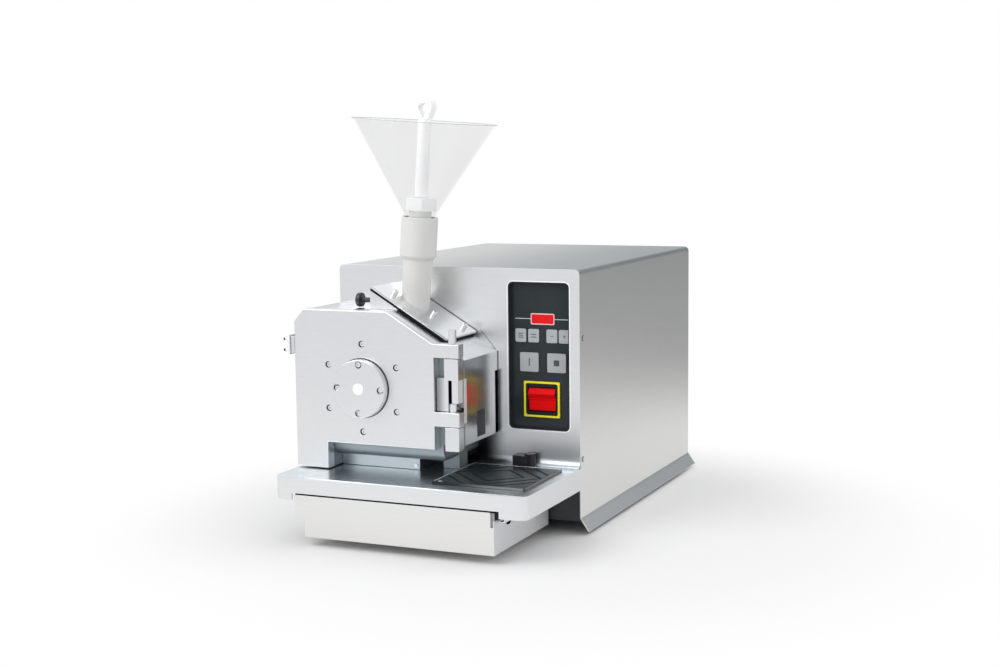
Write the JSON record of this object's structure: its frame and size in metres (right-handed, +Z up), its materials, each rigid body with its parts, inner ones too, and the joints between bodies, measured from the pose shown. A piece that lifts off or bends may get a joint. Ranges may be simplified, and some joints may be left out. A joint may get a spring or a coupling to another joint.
{
  "type": "cutting mill",
  "caption": "Bench cutting mill: steel housing with a table, hinged chamber door, tilted feed tube with a clear funnel and plunger, keypad and collecting drawer.",
  "frame": {"origin": "centre of the mill's bounding box on the bench", "axes": "+Z up, +Y from the chamber door to the rear panel along the rotor shaft, +X to the keypad side; the user stands at -Y"},
  "size_m": [0.4492, 0.777, 0.6719],
  "materials": {
    "black_plastic": "satin black",
    "black_rubber": "matte",
    "board_green": "solder mask",
    "brushed_steel": "brushed",
    "case_plastic": "matte",
    "cast_metal": "painted grey",
    "clear_plastic": "clear",
    "cream_plastic": "satin off-white",
    "dark_sheet": "dark powder coat",
    "grey_key": "matte",
    "machined_plate": "bead blasted",
    "polished_steel": "polished",
    "red_display": "gloss",
    "red_plastic": "gloss",
    "satin_steel": "fine satin",
    "tool_steel": "ground",
    "white_plastic": "satin white",
    "yellow_plastic": "satin"
  },
  "bodies": {
    "mill_frame": {"base_plate": "dark_sheet", "chamber_body": "machined_plate", "chassis_plate": "tool_steel", "control_board": "board_green", "discharge_chute": "satin_steel", "display_window": "red_display", "drawer_rail_left": "satin_steel", "drawer_rail_right": "satin_steel", "drip_mat": "black_rubber", "drip_tray": "satin_steel", "drive_motor": "cast_metal", "feed_block": "machined_plate", "feed_tube": "cream_plastic", "fixed_knife_left": "tool_steel", "fixed_knife_right": "tool_steel", "foot_1": "black_rubber", "foot_2": "black_rubber", "foot_3": "black_rubber", "foot_4": "black_rubber", "front_panel": "satin_steel", "funnel_plate": "polished_steel", "hinge_block_lower": "machined_plate", "hinge_block_upper": "machined_plate", "housing_cover": "brushed_steel", "interlock_switch": "black_plastic", "inverter_box": "case_plastic", "keypad_panel": "black_plastic", "latch_bracket": "machined_plate", "mains_inlet": "black_plastic", "motor_bracket": "tool_steel", "plate_seal": "black_rubber", "rear_bearing_1": "polished_steel", "rear_bearing_2": "polished_steel", "rear_bearing_housing": "tool_steel", "rear_panel": "brushed_steel", "sieve": "polished_steel", "switch_frame": "yellow_plastic"},
    "rotor": {"coupling_hub": "cast_metal", "cutting_rotor": "tool_steel", "motor_shaft": "tool_steel", "rotor_shaft": "tool_steel"},
    "door": {"bearing_cover": "machined_plate", "door_plate": "machined_plate", "front_bearing": "polished_steel", "hinge_pin_lower": "polished_steel", "hinge_pin_upper": "polished_steel", "latch_catch": "machined_plate"},
    "latch": {"latch_lever": "polished_steel"},
    "funnel_body": {"funnel": "clear_plastic"},
    "plunger": {"plunger_rod": "white_plastic", "plunger_stop": "white_plastic"},
    "knob": {"lock_knob": "black_plastic"},
    "drawer": {"drawer_tray": "satin_steel"},
    "rocker": {"power_rocker": "red_plastic"},
    "key_small_1_cap": {"key_small_1": "grey_key"},
    "key_small_2_cap": {"key_small_2": "grey_key"},
    "key_small_3_cap": {"key_small_3": "grey_key"},
    "key_small_4_cap": {"key_small_4": "grey_key"},
    "key_start_cap": {"key_start": "grey_key"},
    "key_stop_cap": {"key_stop": "grey_key"}
  },
  "joints": [
    {"name": "rotor_spin", "type": "hinge", "parent": "mill_frame", "child": "rotor", "pos_m": [-0.0876, -0.23685, 0.2353], "axis": [0, 1, 0], "continuous": true},
    {"name": "door_hinge", "type": "hinge", "parent": "mill_frame", "child": "door", "pos_m": [0.0614, -0.3095, 0.24575], "axis": [0, 0, 1], "range_deg": [0, 115]},
    {"name": "latch_pivot", "type": "hinge", "parent": "mill_frame", "child": "latch", "pos_m": [-0.2151, -0.2795, 0.29675], "axis": [0, 0, -1], "range_deg": [0, 100]},
    {"name": "funnel_lift", "type": "slide", "parent": "mill_frame", "child": "funnel_body", "axis": [0.0732, 0, 0.9973], "range_m": [0, 0.06]},
    {"name": "plunger_slide", "type": "slide", "parent": "funnel_body", "child": "plunger", "axis": [0.0732, 0, 0.9973], "range_m": [0, 0.15]},
    {"name": "knob_turn", "type": "hinge", "parent": "mill_frame", "child": "knob", "pos_m": [-0.0911, -0.2665, 0.3648], "axis": [-1, 0, 0], "range_deg": [0, 270]},
    {"name": "drawer_slide", "type": "slide", "parent": "mill_frame", "child": "drawer", "axis": [0, -1, 0], "range_m": [0, 0.18]},
    {"name": "rocker_tilt", "type": "hinge", "parent": "mill_frame", "child": "rocker", "pos_m": [0.1454, -0.1645, 0.20753], "axis": [-1, 0, 0], "range_deg": [0, 12]},
    {"name": "key_small_1_press", "type": "slide", "parent": "mill_frame", "child": "key_small_1_cap", "axis": [0, 1, 0], "range_m": [0, 0.0005], "stiffness_N_per_m": 600, "springref_m": -0.0005},
    {"name": "key_small_2_press", "type": "slide", "parent": "mill_frame", "child": "key_small_2_cap", "axis": [0, 1, 0], "range_m": [0, 0.0005], "stiffness_N_per_m": 600, "springref_m": -0.0005},
    {"name": "key_small_3_press", "type": "slide", "parent": "mill_frame", "child": "key_small_3_cap", "axis": [0, 1, 0], "range_m": [0, 0.0005], "stiffness_N_per_m": 600, "springref_m": -0.0005},
    {"name": "key_small_4_press", "type": "slide", "parent": "mill_frame", "child": "key_small_4_cap", "axis": [0, 1, 0], "range_m": [0, 0.0005], "stiffness_N_per_m": 600, "springref_m": -0.0005},
    {"name": "key_start_press", "type": "slide", "parent": "mill_frame", "child": "key_start_cap", "axis": [0, 1, 0], "range_m": [0, 0.0005], "stiffness_N_per_m": 600, "springref_m": -0.0005},
    {"name": "key_stop_press", "type": "slide", "parent": "mill_frame", "child": "key_stop_cap", "axis": [0, 1, 0], "range_m": [0, 0.0005], "stiffness_N_per_m": 600, "springref_m": -0.0005}
  ]
}
